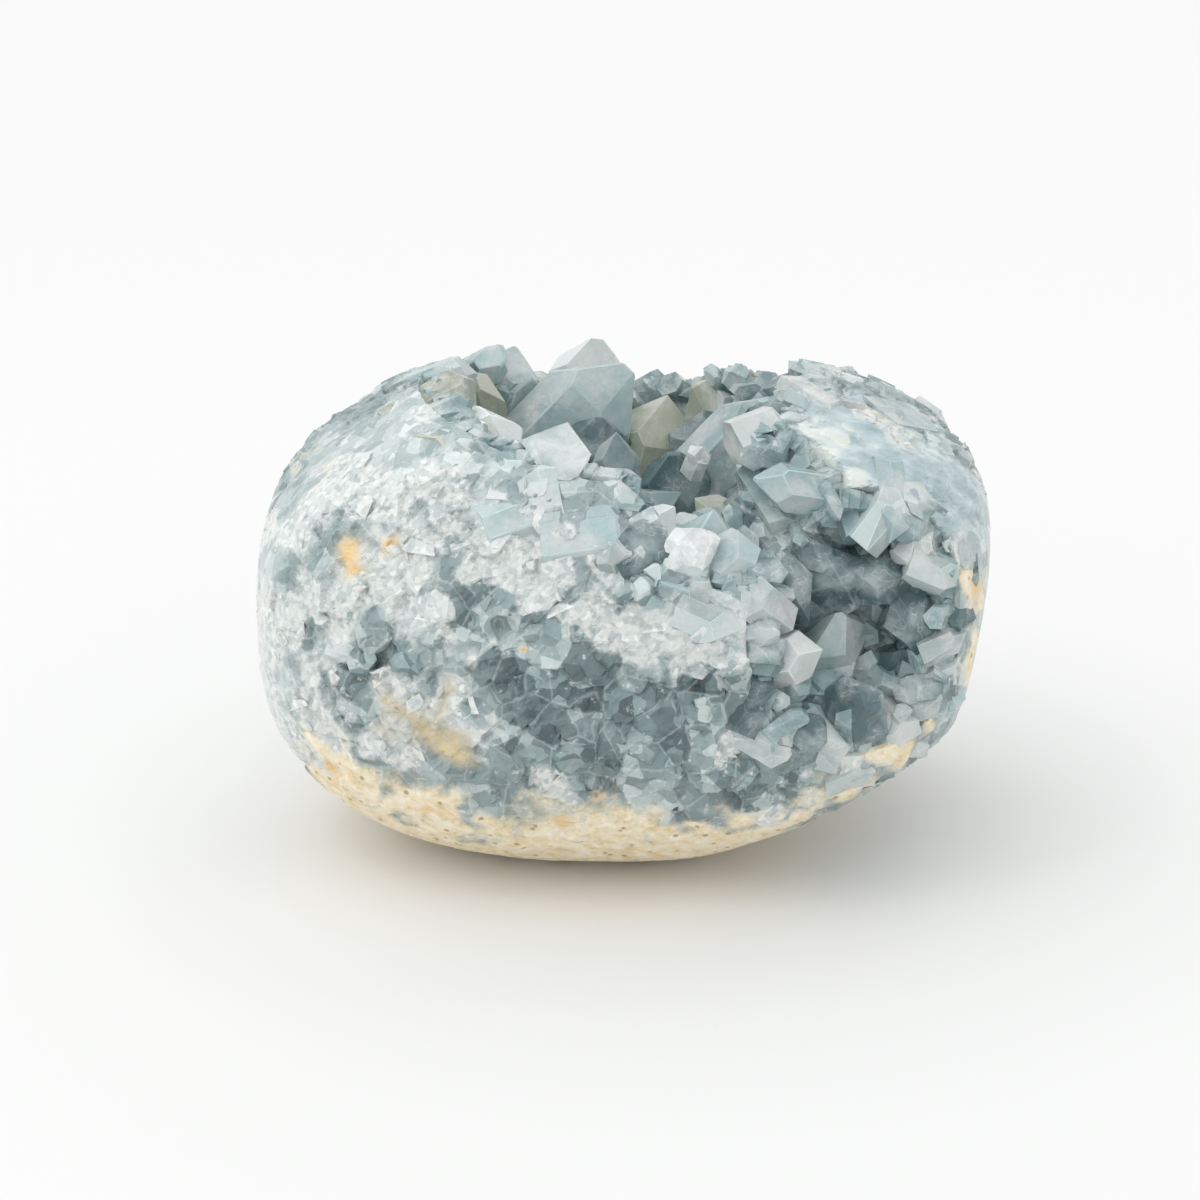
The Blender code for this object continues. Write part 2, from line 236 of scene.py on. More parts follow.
# What the surface is made of where: centres in mm with their reach
ragged = 6.5  # how far noise pushes the borders of the zones, and its length
photoSide = (12, 34)  # the photograph shows the stone from here forward
creamLine = (-19, -10)  # negative heights where the cream base starts and is full
zones = {
    "sugar": (
        ((-47, -25, 81), 7), ((-38, -35, 82), 7), ((-30, -36, 84), 5), ((-24, -42, 81), 5),
        ((-16, -48, 74), 6), ((-9, -51, 68), 4.5), ((0, -52, 64), 4), ((7, -53, 60), 4.5),
        ((14, -53, 60), 5.5), ((22, -53, 59), 5.5), ((-55, -27, 74), 6.5), ((-48, -42, 63), 6.5),
        ((-58, -35, 56), 6), ((-35, -46, 70), 8), ((-30, -49, 62), 5), ((-24, -51, 58), 3.5),
        ((-35, -49, 47), 6), ((-27, -51, 46), 4.5), ((-39, -47, 36), 6), ((-53, -40, 44), 6),
        ((-22, -48, 73), 3), ((19, -46, 80), 2.5), ((2, -50, 73), 3), ((-9, -48, 76), 4.5),
        ((-20, -52, 38), 3.5), ((-5, -52, 28), 3.5), ((29, -52, 35), 3.5), ((50, -48, 33), 4),
        ((70, -35, 68), 4), ((-60, -32, 30), 7), ((-54, -37, 24), 5), ((-63, -28, 40), 5),
        ((-62, -28, 52), 7), ((-50, -39, 36), 5), ((40, -48, 22), 5),
    ),
    "blue": (
        ((0, -54, 47), 9), ((12, -54, 45), 9), ((21, -54, 47), 7), ((-9, -54, 49), 8),
        ((-15, -53, 56), 5.5), ((-5, -53, 59), 4.5), ((-20, -50, 66), 4.5), ((-40, -47, 56), 4),
        ((2, -54, 37), 7), ((14, -53, 36), 7), ((24, -52, 33), 6.5), ((-8, -53, 38), 6),
        ((36, -49, 25), 5.5), ((6, -52, 66), 3), ((10, -51, 69), 3.5), ((-45, -45, 46), 3),
        ((64, -39, 70), 4.5), ((59, -46, 40), 4.5), ((71, -26, 77), 4.5), ((-23, -49, 70), 3),
    ),
    "polish": (
        ((-36, -15, 90), 13), ((-48, -11, 82), 14), ((-58, -18, 72), 11), ((-27, -12, 94), 10),
        ((-64, -22, 64), 12), ((-65, -24, 48), 13), ((-62, -26, 34), 10), ((77, -22, 66), 14),
        ((75, -24, 50), 14), ((72, -22, 80), 9), ((70, -30, 36), 8), ((48, -30, 88), 9), ((60, -27, 84), 11),
        ((-18, -20, 97), 9), ((-30, -28, 90), 8),
    ),
    "streak": (((44, -32, 88), 8), ((54, -28, 88), 11), ((64, -26, 82), 11), ((72, -22, 74), 9), ((50, -14, 94), 9)),
    "milk": (((42, -32, 88), 4.5), ((49, -36, 84), 5), ((44, -27, 91), 4), ((57, -37, 79), 4), ((62, -32, 80), 3)),
    # pits: real hollows in the skin, also painted dark as painted shade inside them
    "pitWithPaintedShade": (
        ((-15.5, -52, 60.5), 2.2), ((-13.6, -52, 62.8), 1.8), ((-38.6, -47.4, 53.7), 2.4), ((1.5, -52.3, 30.5), 2),
        ((-27.1, -49.7, 63.1), 1.8), ((-20, -51, 44), 1.6), ((32, -50, 30), 1.8), ((-46, -44, 50), 1.6),
        ((8, -53, 42), 1.5), ((17, -50, 22), 1.2), ((-8, -50, 21), 1.2), ((60, 36, 40), 2.2), ((-30, 44, 55), 2.4),
        ((-62, 10, 40), 2), ((10, 52, 62), 2), ((72, 5, 60), 1.8),
    ),
    "cream": (
        ((-36, -43, 22), 7), ((-28, -43, 18), 7), ((-17, -45, 14), 7), ((-5, -47, 16), 8),
        ((6, -47, 16), 8), ((18, -45, 13), 7), ((-46, -39, 24), 6), ((-50, -40, 29), 5),
        ((48, -45, 24), 6), ((59, -44, 34), 5), ((75, -31, 60), 5), ((73, -34, 48), 5),
        ((65, -42, 43), 4.5), ((-52, -33, 18), 7), ((-40, -40, 16), 6), ((30, -46, 14), 6),
        ((-45, -38, 14), 7), ((-30, -42, 9), 7), ((38, -46, 16), 6),
    ),
    "tan": (((-30, -50, 39), 7), ((-34, -49, 42), 5.5), ((-27, -50, 35), 5)),
    "ochre": (
        ((-45, -40, 72), 3.0), ((-44.5, -42, 69), 2.4), ((-37, -43, 74), 2.2), ((74, -33, 62), 3),
        ((-5, -48, 20), 2.6), ((2, -51, 26), 1.8), ((-50, -38, 26), 2.4), ((-12, -53, 57), 0.8),
    ),
}


def groundRadius(directions):
    full = (np.abs(directions / np.array(nodule["halfSizes"])) ** nodule["fullness"]).sum(1)
    total = full ** (nodule["sharpness"] / nodule["fullness"])
    for outward, distance in nodule["flats"]:
        way = np.array(outward) / np.linalg.norm(outward)
        total += (np.clip(directions @ way, 0, None) / distance) ** nodule["sharpness"]
    return total ** (-1 / nodule["sharpness"])


def depthBelowSkin(points):  # how far inside the ground form, in mm
    offset = points - np.array(nodule["centre"])
    length = np.linalg.norm(offset, axis=1)
    return groundRadius(offset / length[:, None]) - length


def reachOf(points, spots):
    best = np.zeros(len(points))
    for centre, size in spots:
        far = np.linalg.norm(points - np.array(centre, float), axis=1) / size
        best = np.maximum(best, np.exp(-far ** 2 * 0.9))
    return best


def zoneFields(points):
    wide, middle, fine = (noiseField(points, length) for length in (24, 9, 3.5))
    seen = smoothStep(-points[:, 1], *photoSide)
    pushed = points + np.stack([noiseField(points, ragged, shift) for shift in (20, 50, 80)], 1) * ragged
    fields = {name: reachOf(pushed, spots) for name, spots in zones.items()}
    for name in ("pitWithPaintedShade", "ochre"):
        fields[name] = reachOf(points, zones[name])
    hidden = 1 - seen
    low = smoothStep(-points[:, 2] + 9 * middle + 5 * fine, *creamLine)
    fields["sugar"] = np.clip(fields["sugar"] * 1.25 + hidden * smoothStep(wide + 0.7 * middle, 0.02, 0.3), 0, 1)
    fields["cream"] = np.clip(np.maximum(fields["cream"] * 1.15, low), 0, 1)
    fields["polish"] = np.clip(fields["polish"] * 1.3 + hidden * smoothStep(wide - 0.4 * middle, -0.12, 0.12), 0, 1)
    fields["ochre"] = np.clip(fields["ochre"] + hidden * smoothStep(middle + fine * 0.6, 0.42, 0.6) * 0.4, 0, 1)
    return fields


def facetHeight(tree, place, size, slope):  # tilted flat cells, in metres
    cells = cellNode(tree, place, size)
    tilt = addNode(tree, "ShaderNodeVectorMath", {0: cells.outputs["Color"], 1: (0.5, 0.5, 0.5)}, operation="SUBTRACT")
    arm = addNode(tree, "ShaderNodeVectorMath", {0: place, 1: cells.outputs["Position"]}, operation="SUBTRACT")
    lift = addNode(tree, "ShaderNodeVectorMath", {0: tilt.outputs[0], 1: arm.outputs[0]}, operation="DOT_PRODUCT")
    return mathNode(tree, "MULTIPLY", lift.outputs["Value"], slope)


def newRelief(name):
    tree = bpy.data.node_groups.new(name, "GeometryNodeTree")
    tree.interface.new_socket("Geometry", in_out="INPUT", socket_type="NodeSocketGeometry")
    tree.interface.new_socket("Geometry", in_out="OUTPUT", socket_type="NodeSocketGeometry")
    return tree, tree.nodes.new("NodeGroupInput"), tree.nodes.new("NodeGroupOutput")


def readAttribute(tree, name, kind="FLOAT"):
    return addNode(tree, "GeometryNodeInputNamedAttribute", {"Name": name}, data_type=kind).outputs["Attribute"]


def addRelief(piece, name, layers):
    tree, source, target = newRelief(name)
    place = addNode(tree, "GeometryNodeInputPosition").outputs[0]
    total = None
    for size, slope, field in layers:
        height = mathNode(tree, "MULTIPLY", facetHeight(tree, place, size, slope), readAttribute(tree, field))
        total = height if total is None else mathNode(tree, "ADD", total, height)
    outward = addNode(tree, "GeometryNodeInputNormal").outputs[0]
    shift = addNode(tree, "ShaderNodeVectorMath", {0: outward, "Scale": total}, operation="SCALE").outputs[0]
    moved = addNode(tree, "GeometryNodeSetPosition", {"Geometry": source.outputs[0], "Offset": shift})
    tree.links.new(moved.outputs[0], target.inputs[0])
    piece.modifiers.new(name, "NODES").node_group = tree
    applyAll(piece)


def nearHollow(points, room):  # how close the skin is to the edge of the hollow
    best = np.zeros(len(points))
    for centre, halves, full in hollow.values():
        grown = np.array(halves, float) + room
        inside = (np.abs((points - np.array(centre)) / grown) ** full).sum(1)
        best = np.maximum(best, smoothStep(-inside, -1.12, -0.98))
    return best


def readField(piece, name):
    values = np.zeros(len(piece.data.vertices), np.float32)
    piece.data.attributes[name].data.foreach_get("value", values)
    return values


def grindFlush(piece, least, most, only=None, below=None):  # grinds off what stands out further than this, in mm
    points = readPoints(piece)
    tone = readField(piece, "tone")
    over = np.clip(-depthBelowSkin(points) - (least + (most - least) * ((tone * 7.3) % 1)), 0, None)
    if only:
        over *= readField(piece, only)
    if below:
        over *= points[:, 2] < below
    offset = points - np.array(nodule["centre"])
    points -= offset / np.linalg.norm(offset, axis=1)[:, None] * over[:, None]
    writePoints(piece, points)


def buildNodule():
    deselectAll()
    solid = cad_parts["polished_nodule"]
    piece = bpy.data.objects.new("groundNodule", solid.data.copy())
    bpy.context.scene.collection.objects.link(piece)
    piece.data.materials.clear()
    pickOne(piece)
    bpy.ops.object.mode_set(mode="EDIT")
    bpy.ops.mesh.select_all(action="SELECT")
    bpy.ops.mesh.remove_doubles(threshold=0.01 * mm)
    bpy.ops.object.mode_set(mode="OBJECT")
    remesh = piece.modifiers.new("evenSkin", "REMESH")
    remesh.mode = "VOXEL"
    remesh.voxel_size = nodule["voxel"] * mm
    applyAll(piece)
    points = readPoints(piece)
    offset = points - np.array(nodule["centre"])
    length = np.linalg.norm(offset, axis=1)
    directions = offset / length[:, None]
    radius = groundRadius(directions)
    outer = smoothStep(nodule["skin"] - (radius - length), 0, 0.6) * smoothStep(points[:, 2], 0.3, 1.5)
    smooth = np.array(nodule["centre"]) + directions * radius[:, None]
    points += (smooth - points) * outer[:, None] * 0.95
    fields = zoneFields(points)
    calm, height = nodule["calm"], points[:, 2]
    rough = nodule["roughInside"] + (1 - nodule["roughInside"]) * outer
    rough = rough * (1 - fields["polish"] * calm["polish"]) * (1 - fields["cream"] * calm["cream"])
    rough *= smoothStep(height, 0.5, 4)  # the spot that it rests on stays flat
    rough *= (1 - calm["rim"] * nearHollow(points, 2)) * (
        nodule["roughBelow"] + (1 - nodule["roughBelow"]) * smoothStep(height, 12, 28))
    points -= directions * (outer * (rough * nodule["sunk"] + fields["pitWithPaintedShade"] * nodule["pitDepth"]))[:, None]
    writePoints(piece, points)
    for name, values in fields.items():
        writeField(piece, name, values)
    writeField(piece, "rough", rough)
    for name in ("tone", "facet"):
        writeField(piece, name, np.full(len(points), 0.5))
    writeField(piece, "grainy", fields["sugar"] * rough)
    addRelief(piece, "brokenFace", nodule["facets"])
    grindFlush(piece, nodule["proud"], nodule["proud"])
    points = readPoints(piece)
    points[:, 2] = np.maximum(points[:, 2], 0)
    writePoints(piece, points)
    return piece


def lobePoints(name, directions, inset):
    centre, halves, full = hollow[name]
    reach = (np.abs(directions / (np.array(halves, float) - inset)) ** full).sum(1)
    place = directions / lining["lumpLength"] + np.array(centre) + np.array(halves)
    lump = 1 + lining["lump"] * noiseField(place, 1)
    return np.array(centre) + directions * (lump * reach ** (-1 / full))[:, None]


def buildLining():
    lobes = []
    for name in hollow:
        deselectAll()
        bpy.ops.mesh.primitive_ico_sphere_add(subdivisions=5, radius=1)
        lobe = bpy.context.object
        unit = readPoints(lobe) * mm
        writePoints(lobe, lobePoints(name, unit / np.linalg.norm(unit, axis=1)[:, None], lining["inset"]))
        lobes.append(lobe)
    deselectAll()
    for lobe in lobes:
        lobe.select_set(True)
    bpy.context.view_layer.objects.active = lobes[0]
    bpy.ops.object.join()
    piece = lobes[0]
    piece.name = piece.data.name = "crystalLining"
    remesh = piece.modifiers.new("oneWall", "REMESH")
    remesh.mode = "VOXEL"
    remesh.voxel_size = lining["voxel"] * mm
    applyAll(piece)
    outside = depthBelowSkin(readPoints(piece)) < lining["cut"]
    bpy.ops.object.mode_set(mode="EDIT")
    bpy.ops.mesh.select_mode(type="VERT")
    bpy.ops.mesh.select_all(action="DESELECT")
    bpy.ops.object.mode_set(mode="OBJECT")
    piece.data.vertices.foreach_set("select", outside)
    bpy.ops.object.mode_set(mode="EDIT")
    bpy.ops.mesh.delete(type="VERT")
    bpy.ops.mesh.select_all(action="SELECT")
    bpy.ops.mesh.flip_normals()
    bpy.ops.object.mode_set(mode="OBJECT")
    for name, value in lining["fields"].items():
        writeField(piece, name, np.full(len(piece.data.vertices), value))
    addRelief(piece, "druseFace", lining["facets"])
    wall = piece.modifiers.new("wall", "SOLIDIFY")
    wall.thickness = lining["thickness"] * mm
    wall.offset = -1
    applyAll(piece)
    grindFlush(piece, lining["flush"], lining["flush"])
    return piece


stone = buildNodule()
print("nodule", len(stone.data.polygons))
crust = buildLining()
print("lining", len(crust.data.polygons))


# Crystals: the same places and habits as in the solid
crystals = {
    "prismAngle": 52.1, "pointAngle": 38.0, "roofAngle": 50.6, "width": 0.8, "thickness": 0.6, "root": 0.5,
    "chips": 2, "bevel": 0.012, "seed": 12, "earlierDraws": 623,
    "counts": {"bowl": 150, "trough": 60, "channel": 50, "notch": 90},
    "lengths": (10, 18), "spacing": 7.5, "lean": 0.45, "tipProud": 1.5, "shortest": 5, "rimMargin": 0.5,
}
flush = {  # how far pieces may stand out of the ground form, least and most, in mm
    "between": (0.4, 1.2), "roots": (-0.5, -0.5), "slab": (0.0, 0.4), "frosted": (0.0, 0.9),
    "druse": (-0.5, 0.5), "rim": (0.0, 0.5), "face": (0.0, 0.3), "sugar": (0.0, 0.3),
}
rootHeight = 26  # below this only roots reach the skin, and they stay inside the stone
habits = {
    "chisel": ((1.00, 0.90), (0.95, 0.80, 0.90, 1.00), (0.00, 0.06), (0.10, 0.02), 1.00),
    "pointed": ((0.90, 1.05), (0.80, 0.95, 0.85, 0.90), (0.03, 0.00), (0.00, 0.03), 1.00),
    "blunt": ((1.05, 0.95), (1.00, 0.90, 0.85, 0.95), (0.00, 0.02), (0.04, 0.00), 0.93),
    "oneSided": ((0.95, 1.00), (0.85, 1.00, 1.00, 0.80), (0.00, 0.20), (0.02, 0.12), 1.00),
    "roofed": ((1.00, 1.00), (0.90, 0.85, 1.00, 0.90), (0.14, 0.10), (0.00, 0.00), 1.00),
    "broken": ((0.90, 0.95), (1.00, 0.85, 0.80, 0.95), (0.02, 0.10), (0.12, 0.00), 0.90),
}
scatterLooks = {
    # the notch takes mostly slate crystals, whose dark colour is partly painted shade
    "bowl": ("clear", "milky", "clear", "smoky", "slate"), "trough": ("clear", "milky", "clear", "smoky", "milky"),
    "channel": ("slate", "clear", "slate", "milky", "clear"), "notch": ("slate", "clear", "slate", "slate", "milky"),
}
largeCrystals = (  # look, foot, tip, width, thickness, turn
    ("milky", (-3, 43, 70), (1, 44, 93), 15, 10, 20),
    ("clear", (-20, 34, 70), (-15, 38, 91), 16, 12, -15),
    ("clear", (-16, 24, 64), (10, 30, 90), 19, 9, 0),
    ("smoky", (10, 32, 62), (15, 33, 84), 15, 12, 25),
    ("slate", (12, 44, 68), (15, 45, 86), 13, 10, -20),
    ("milky", (24, 43, 66), (25, 46, 83), 10, 9, 10),
    ("milky", (33, 42, 64), (31, 46, 82), 9, 7, 40),
    ("milky", (40, 38, 64), (43, 44, 83), 12, 9, 0),
    ("smoky", (47, 36, 66), (50, 41, 82), 10, 9, 30),
    ("smoky", (53, 34, 70), (54, 38, 81), 6, 5, 0),
    ("clear", (57, 30, 70), (60, 35, 82), 10, 8, -20),
    ("milky", (66, 20, 70), (71, 24, 83), 13, 10, 15),
    ("slate", (25, 30, 60), (25, 27, 82), 16, 12, -30),
    ("clear", (18, 14, 60), (43, 18, 86), 17, 11, -10),
    ("smoky", (-27, 8, 58), (-22, 3, 86), 15, 11, 0),
    ("clear", (-37, 12, 68), (-31, 6, 84), 8, 6, 20),
    ("smoky", (-18, 20, 60), (-15, 12, 80), 7, 5, 35),
    ("slate", (-4, 28, 58), (1, 22, 83), 19, 14, 15),
    ("slate", (-8, 12, 50), (-2, 2, 73), 21, 15, -20),
    ("clear", (6, 18, 60), (6, 11, 80), 9, 7, 10),
    ("slate", (18, 14, 54), (17, 5, 79), 13, 11, -5),
    ("clear", (-1, -20, 68), (20, -17, 79), 9, 8, 0),
    ("slate", (34, -6, 58), (33, -18, 80), 15, 12, 20),
    ("slate", (46, -14, 62), (41, -24, 80), 14, 10, -25),
    ("slate", (50, -14, 58), (50, -27, 76), 16, 13, 0),
    ("clear", (22, -30, 50), (24, -42, 81), 15, 14, 10),
    ("clear", (61, -22, 44), (60, -33, 72), 16, 12, -10),
    ("slate", (55, -20, 46), (54, -30, 65), 9, 8, 15),
    ("milky", (46, -26, 54), (46, -38, 66), 10, 8, 15),
    ("clear", (46, -26, 36), (46, -38, 62), 16, 13, 10),
    ("slate", (61, -26, 42), (58, -38, 52), 11, 10, 0),
    ("slate", (38, -22, 42), (37, -33, 57), 11, 10, -15),
    ("slate", (30, -28, 48), (29, -41, 67), 11, 10, 20),
    ("slate", (37, -30, 24), (36, -43, 46), 21, 13, 0),
)


def crystalSides(habit):
    flats, prisms, points, roofs, end = habits[habit]
    prism, point, roof = (math.radians(crystals[name]) for name in ("prismAngle", "pointAngle", "roofAngle"))
    tip = Vector((0, 0, 1))
    sides = [(tip * end, tip), (-tip * crystals["root"], -tip)]
    for index, side in enumerate((-1, 1)):
        flat = Vector((0, side, 0))
        sides.append((flat * crystals["thickness"] / 2 * flats[index], flat))
        for number, edge in enumerate((-1, 1)):
            way = Vector((edge * math.sin(prism), side * math.cos(prism), 0))
            sides.append((way * crystals["width"] / 2 * prisms[2 * index + number], way))
        way = Vector((side * math.sin(point), 0, math.cos(point)))
        sides.append((tip - way * points[index], way))
        way = Vector((0, side * math.sin(roof), math.cos(roof)))
        sides.append((tip - way * roofs[index], way))
    return sides


def cutBlock(name, size, sides, bevel):
    deselectAll()
    bpy.ops.mesh.primitive_cube_add(size=size)
    piece = bpy.context.object
    piece.name = piece.data.name = name
    bpy.ops.object.mode_set(mode="EDIT")
    for place, way in sides:
        bpy.ops.mesh.select_all(action="SELECT")
        bpy.ops.mesh.bisect(plane_co=place, plane_no=way, use_fill=True, clear_outer=True)
    bpy.ops.object.mode_set(mode="OBJECT")
    for mark in ("face", "edge"):
        piece.data.materials.append(bpy.data.materials.get(mark) or bpy.data.materials.new(mark))
    if bevel:
        edge = piece.modifiers.new("wornEdgePaintedHighlight", "BEVEL")
        edge.width = bevel
        edge.segments = 1
        edge.material = 1
        edge.limit_method = "ANGLE"
        edge.angle_limit = math.radians(12)
    applyAll(piece)
    rng = random.Random(name)
    facets = [rng.uniform(0.9, 1.8) if face.material_index else rng.random() for face in piece.data.polygons]
    piece.data.attributes.new("facet", "FLOAT", "FACE").data.foreach_set("value", facets)  # bevelled edges are palest, a painted edge highlight on partly chipped edges, and every face gets a random painted reflection
    piece.data.materials.clear()
    return piece


def storeModels(name, pieces):  # out of the scene, for the scatter to copy
    shelf = bpy.data.collections.new(name)
    for piece in pieces:
        for home in list(piece.users_collection):
            home.objects.unlink(piece)
        shelf.objects.link(piece)
    return shelf


def crystalModels(name, chips, bevel):
    rng = random.Random(crystals["seed"] + chips)
    pieces = []
    for index, habit in enumerate(habits):
        sides = crystalSides(habit)
        for _ in range(chips):
            way = Vector((rng.uniform(-1, 1), rng.uniform(-1, 1), rng.uniform(-0.2, 1))).normalized()
            sides.append((Vector((0, 0, 0.5)) + way * rng.uniform(0.3, 0.42), way))
        pieces.append(cutBlock(f"{name}{index}", 4, sides, bevel))
    return storeModels(name, pieces)


def grainModels(name, count):
    rng = random.Random(crystals["seed"])
    pieces = []
    for index in range(count):
        sides = []
        for axis in range(3):
            for side in (-1, 1):
                way = Vector(rng.uniform(-0.55, 0.55) for _ in range(3))
                way[axis] = side
                sides.append((way.normalized() * rng.uniform(0.3, 0.5), way))
        pieces.append(cutBlock(f"{name}{index}", 4, sides, 0))
    return storeModels(name, pieces)


def standFrame(axis, turn, front=Vector((0, -1, 0.2))):
    across = front - axis * front.dot(axis)
    face = Matrix.Rotation(turn, 3, axis) @ across.normalized()
    return Matrix((face.cross(axis), face, axis)).transposed()


def wallDirection(heading, height):
    level = math.cos(height)
    return Vector((math.cos(heading) * level, math.sin(heading) * level, math.sin(height)))


def insideNodule(point, margin):
    return depthBelowSkin(np.array([point]))[0] > margin and point.z > margin


def insideLobe(name, point, inset):
    centre, halves, full = hollow[name]
    offset = point - Vector(centre)
    return sum(abs(part / (half - inset)) ** full for part, half in zip(offset, halves)) < 1


def lobePoint(name, direction):
    centre, halves, full = hollow[name]
    reach = sum(abs(part / half) ** full for part, half in zip(direction, halves))
    lump = 1 + lining["lump"] * noise.noise(direction / lining["lumpLength"] + Vector(centre))
    return Vector(centre) + direction * lump * reach ** (-1 / full)


def crystalPlaces():
    rng = random.Random(crystals["seed"])
    for _ in range(crystals["earlierDraws"]):
        rng.random()
    places = []
    for look, foot, tip, width, thickness, turn in largeCrystals:
        foot = Vector(foot)
        axis = Vector(tip) - foot
        places.append((look, foot, axis.normalized(), axis.length, width, thickness, math.radians(turn)))
    taken = [(place[1], (place[4] + place[5]) / 4) for place in places]
    spread = math.pi * (3 - math.sqrt(5))
    for lobe, count in crystals["counts"].items():
        for index in range(count):
            direction = wallDirection(index * spread, math.asin(1 - 2 * (index + 0.5) / count))
            foot = lobePoint(lobe, direction)
            length = rng.uniform(*crystals["lengths"])
            lean = Vector((rng.uniform(-1, 1), rng.uniform(-1, 1), rng.uniform(-0.4, 1.2)))
            turn = rng.uniform(0, math.pi)
            broad = rng.uniform(0.6, 0.95)
            thin = rng.uniform(0.45, 0.75)
            if not insideNodule(foot, crystals["rimMargin"]):
                continue
            if any(other != lobe and insideLobe(other, foot, 2) for other in hollow):
                continue
            if any((foot - place).length < crystals["spacing"] / 2 + room for place, room in taken):
                continue
            taken.append((foot, crystals["spacing"] / 2))
            axis = (lean * crystals["lean"] - direction).normalized()
            while length > crystals["shortest"] and (
                    not insideNodule(foot + axis * length, -crystals["tipProud"])
                    or not insideNodule(foot + axis * length * 0.6, length * broad / 2 - crystals["tipProud"])):
                length -= 1
            look = scatterLooks[lobe][index % 5]
            places.append((look, foot, axis, length, length * broad, length * thin, turn))
    return places


def scatter(name, shelf, rows, carried=None):  # rows: place mm, 3x3 turn, three sizes mm, model number, tone
    mesh = bpy.data.meshes.new(name)
    mesh.from_pydata([tuple(Vector(row[0]) * mm) for row in rows], [], [])
    piece = bpy.data.objects.new(name, mesh)
    bpy.context.scene.collection.objects.link(piece)
    turns = [tuple(row[1].to_euler()) for row in rows]
    mesh.attributes.new("turn", "FLOAT_VECTOR", "POINT").data.foreach_set("vector", np.array(turns, np.float32).ravel())
    sizes = np.array([row[2] for row in rows], np.float32) * mm
    mesh.attributes.new("size", "FLOAT_VECTOR", "POINT").data.foreach_set("vector", sizes.ravel())
    mesh.attributes.new("model", "INT", "POINT").data.foreach_set("value", [row[3] for row in rows])
    writeField(piece, "tone", [row[4] for row in rows])
    for field, values in (carried or {}).items():
        writeField(piece, field, values)
    tree, source, target = newRelief(name + "Scatter")
    models = addNode(tree, "GeometryNodeCollectionInfo", {
        "Collection": shelf, "Separate Children": True, "Reset Children": True})
    placed = addNode(tree, "GeometryNodeInstanceOnPoints", {
        "Points": source.outputs[0], "Instance": models.outputs[0], "Pick Instance": True,
        "Instance Index": readAttribute(tree, "model", "INT"),
        "Rotation": readAttribute(tree, "turn", "FLOAT_VECTOR"),
        "Scale": readAttribute(tree, "size", "FLOAT_VECTOR")})
    real = addNode(tree, "GeometryNodeRealizeInstances", {0: placed.outputs[0]})
    tree.links.new(real.outputs[0], target.inputs[0])
    piece.modifiers.new("scatter", "NODES").node_group = tree
    applyAll(piece)
    for spare in ("turn", "size", "model"):
        if spare in mesh.attributes:
            piece.data.attributes.remove(piece.data.attributes[spare])
    return piece


groundSlabs = (  # look, middle of the ground face, long way, length, width, thickness
    ("clear", (0.6, -47.4, 77.7), (1, 0.05, 0.12), 18, 9, 8),
    ("clear", (-13, -44, 80), (1, 0.2, 0.3), 14, 9, 8),
    ("milky", (34, -24, 91), (0.8, 0.4, 0.2), 12, 8, 8),
    ("clear", (66, -6, 88), (0.7, 0.6, -0.3), 17, 12, 9),
    ("clear", (15, -50, 70), (0.4, -0.2, 0.9), 14, 12, 9),
    # the two frosted slabs are pale white as a painted glint on their faces, over a really rough, frosted surface
    ("frosted", (19, -49.5, 75), (0.25, -0.1, 0.95), 14, 9, 7),
    ("frosted", (21.5, -20, 84), (0.3, -0.3, 0.9), 6, 4.5, 5),
    ("slate", (11, -49, 76), (0.9, 0.0, 0.5), 11, 9, 8),
)


def slabRows(look):
    rows = []
    for kind, middle, along, length, width, thickness in groundSlabs:
        if kind != look:
            continue
        axis = Vector(along).normalized()
        outward = (Vector(middle) - Vector(nodule["centre"])).normalized()
        turn = standFrame(axis, 0.15, outward)
        foot = Vector(middle) - axis * length * 0.2 - outward * thickness * 0.2
        size = (width / crystals["width"], thickness / crystals["thickness"], length * 0.7)
        rows.append((foot, turn, size, len(rows) % len(habits), tones.random()))
    return rows


def crystalRows(places, tones):
    rows = []
    for number, (look, foot, axis, length, width, thickness, turn) in places:
        size = (width / crystals["width"], thickness / crystals["thickness"], length)
        rows.append((foot, standFrame(axis, turn), size, number % len(habits), tones.random()))
    return rows


wholeCrystals = crystalModels("wholeCrystal", crystals["chips"], crystals["bevel"])
plainCrystals = crystalModels("plainCrystal", 1, 0)
grains = grainModels("grain", len(habits))
places = list(enumerate(crystalPlaces()))
tones = random.Random(5)
pieces = {}
for look in ("milky", "clear", "smoky", "slate"):
    chosen = [place for place in places if place[1][0] == look]
    between = [float(number >= len(largeCrystals)) for number, _ in chosen]
    pieces[look] = scatter(look + "Crystals", wholeCrystals, crystalRows(chosen, tones), {"between": between})
    grindFlush(pieces[look], *flush["between"], "between")
    grindFlush(pieces[look], *flush["roots"], below=rootHeight)
    print(look, "crystals", len(chosen), len(pieces[look].data.polygons))
for look in ("milky", "clear", "slate", "frosted"):
    pieces[look + "Slab"] = scatter(look + "Slabs", wholeCrystals, slabRows(look))
    grindFlush(pieces[look + "Slab"], *flush["frosted" if look == "frosted" else "slab"])


# Small crystals that fill between the large ones and finish the ground faces
fillers = {
    "seed": 31,
    "druse": {"spacing": 4.8, "width": (3.6, 6.8), "lean": 0.55, "sink": 0.6, "below": 2.5},
    "rim": {"spacing": 6.8, "width": (5.0, 9.0), "lean": 0.9, "lift": (0.6, 2.2), "tall": 1.1},
    "face": {"spacing": 8.0, "width": (5.0, 9.0), "lean": 0.6, "lift": (0.8, 2.0), "tall": 1.0},
    "sugar": {"spacing": 2.8, "width": (1.2, 2.6), "lean": 1.2, "lift": (0.0, 0.45), "tall": 0.8},
}


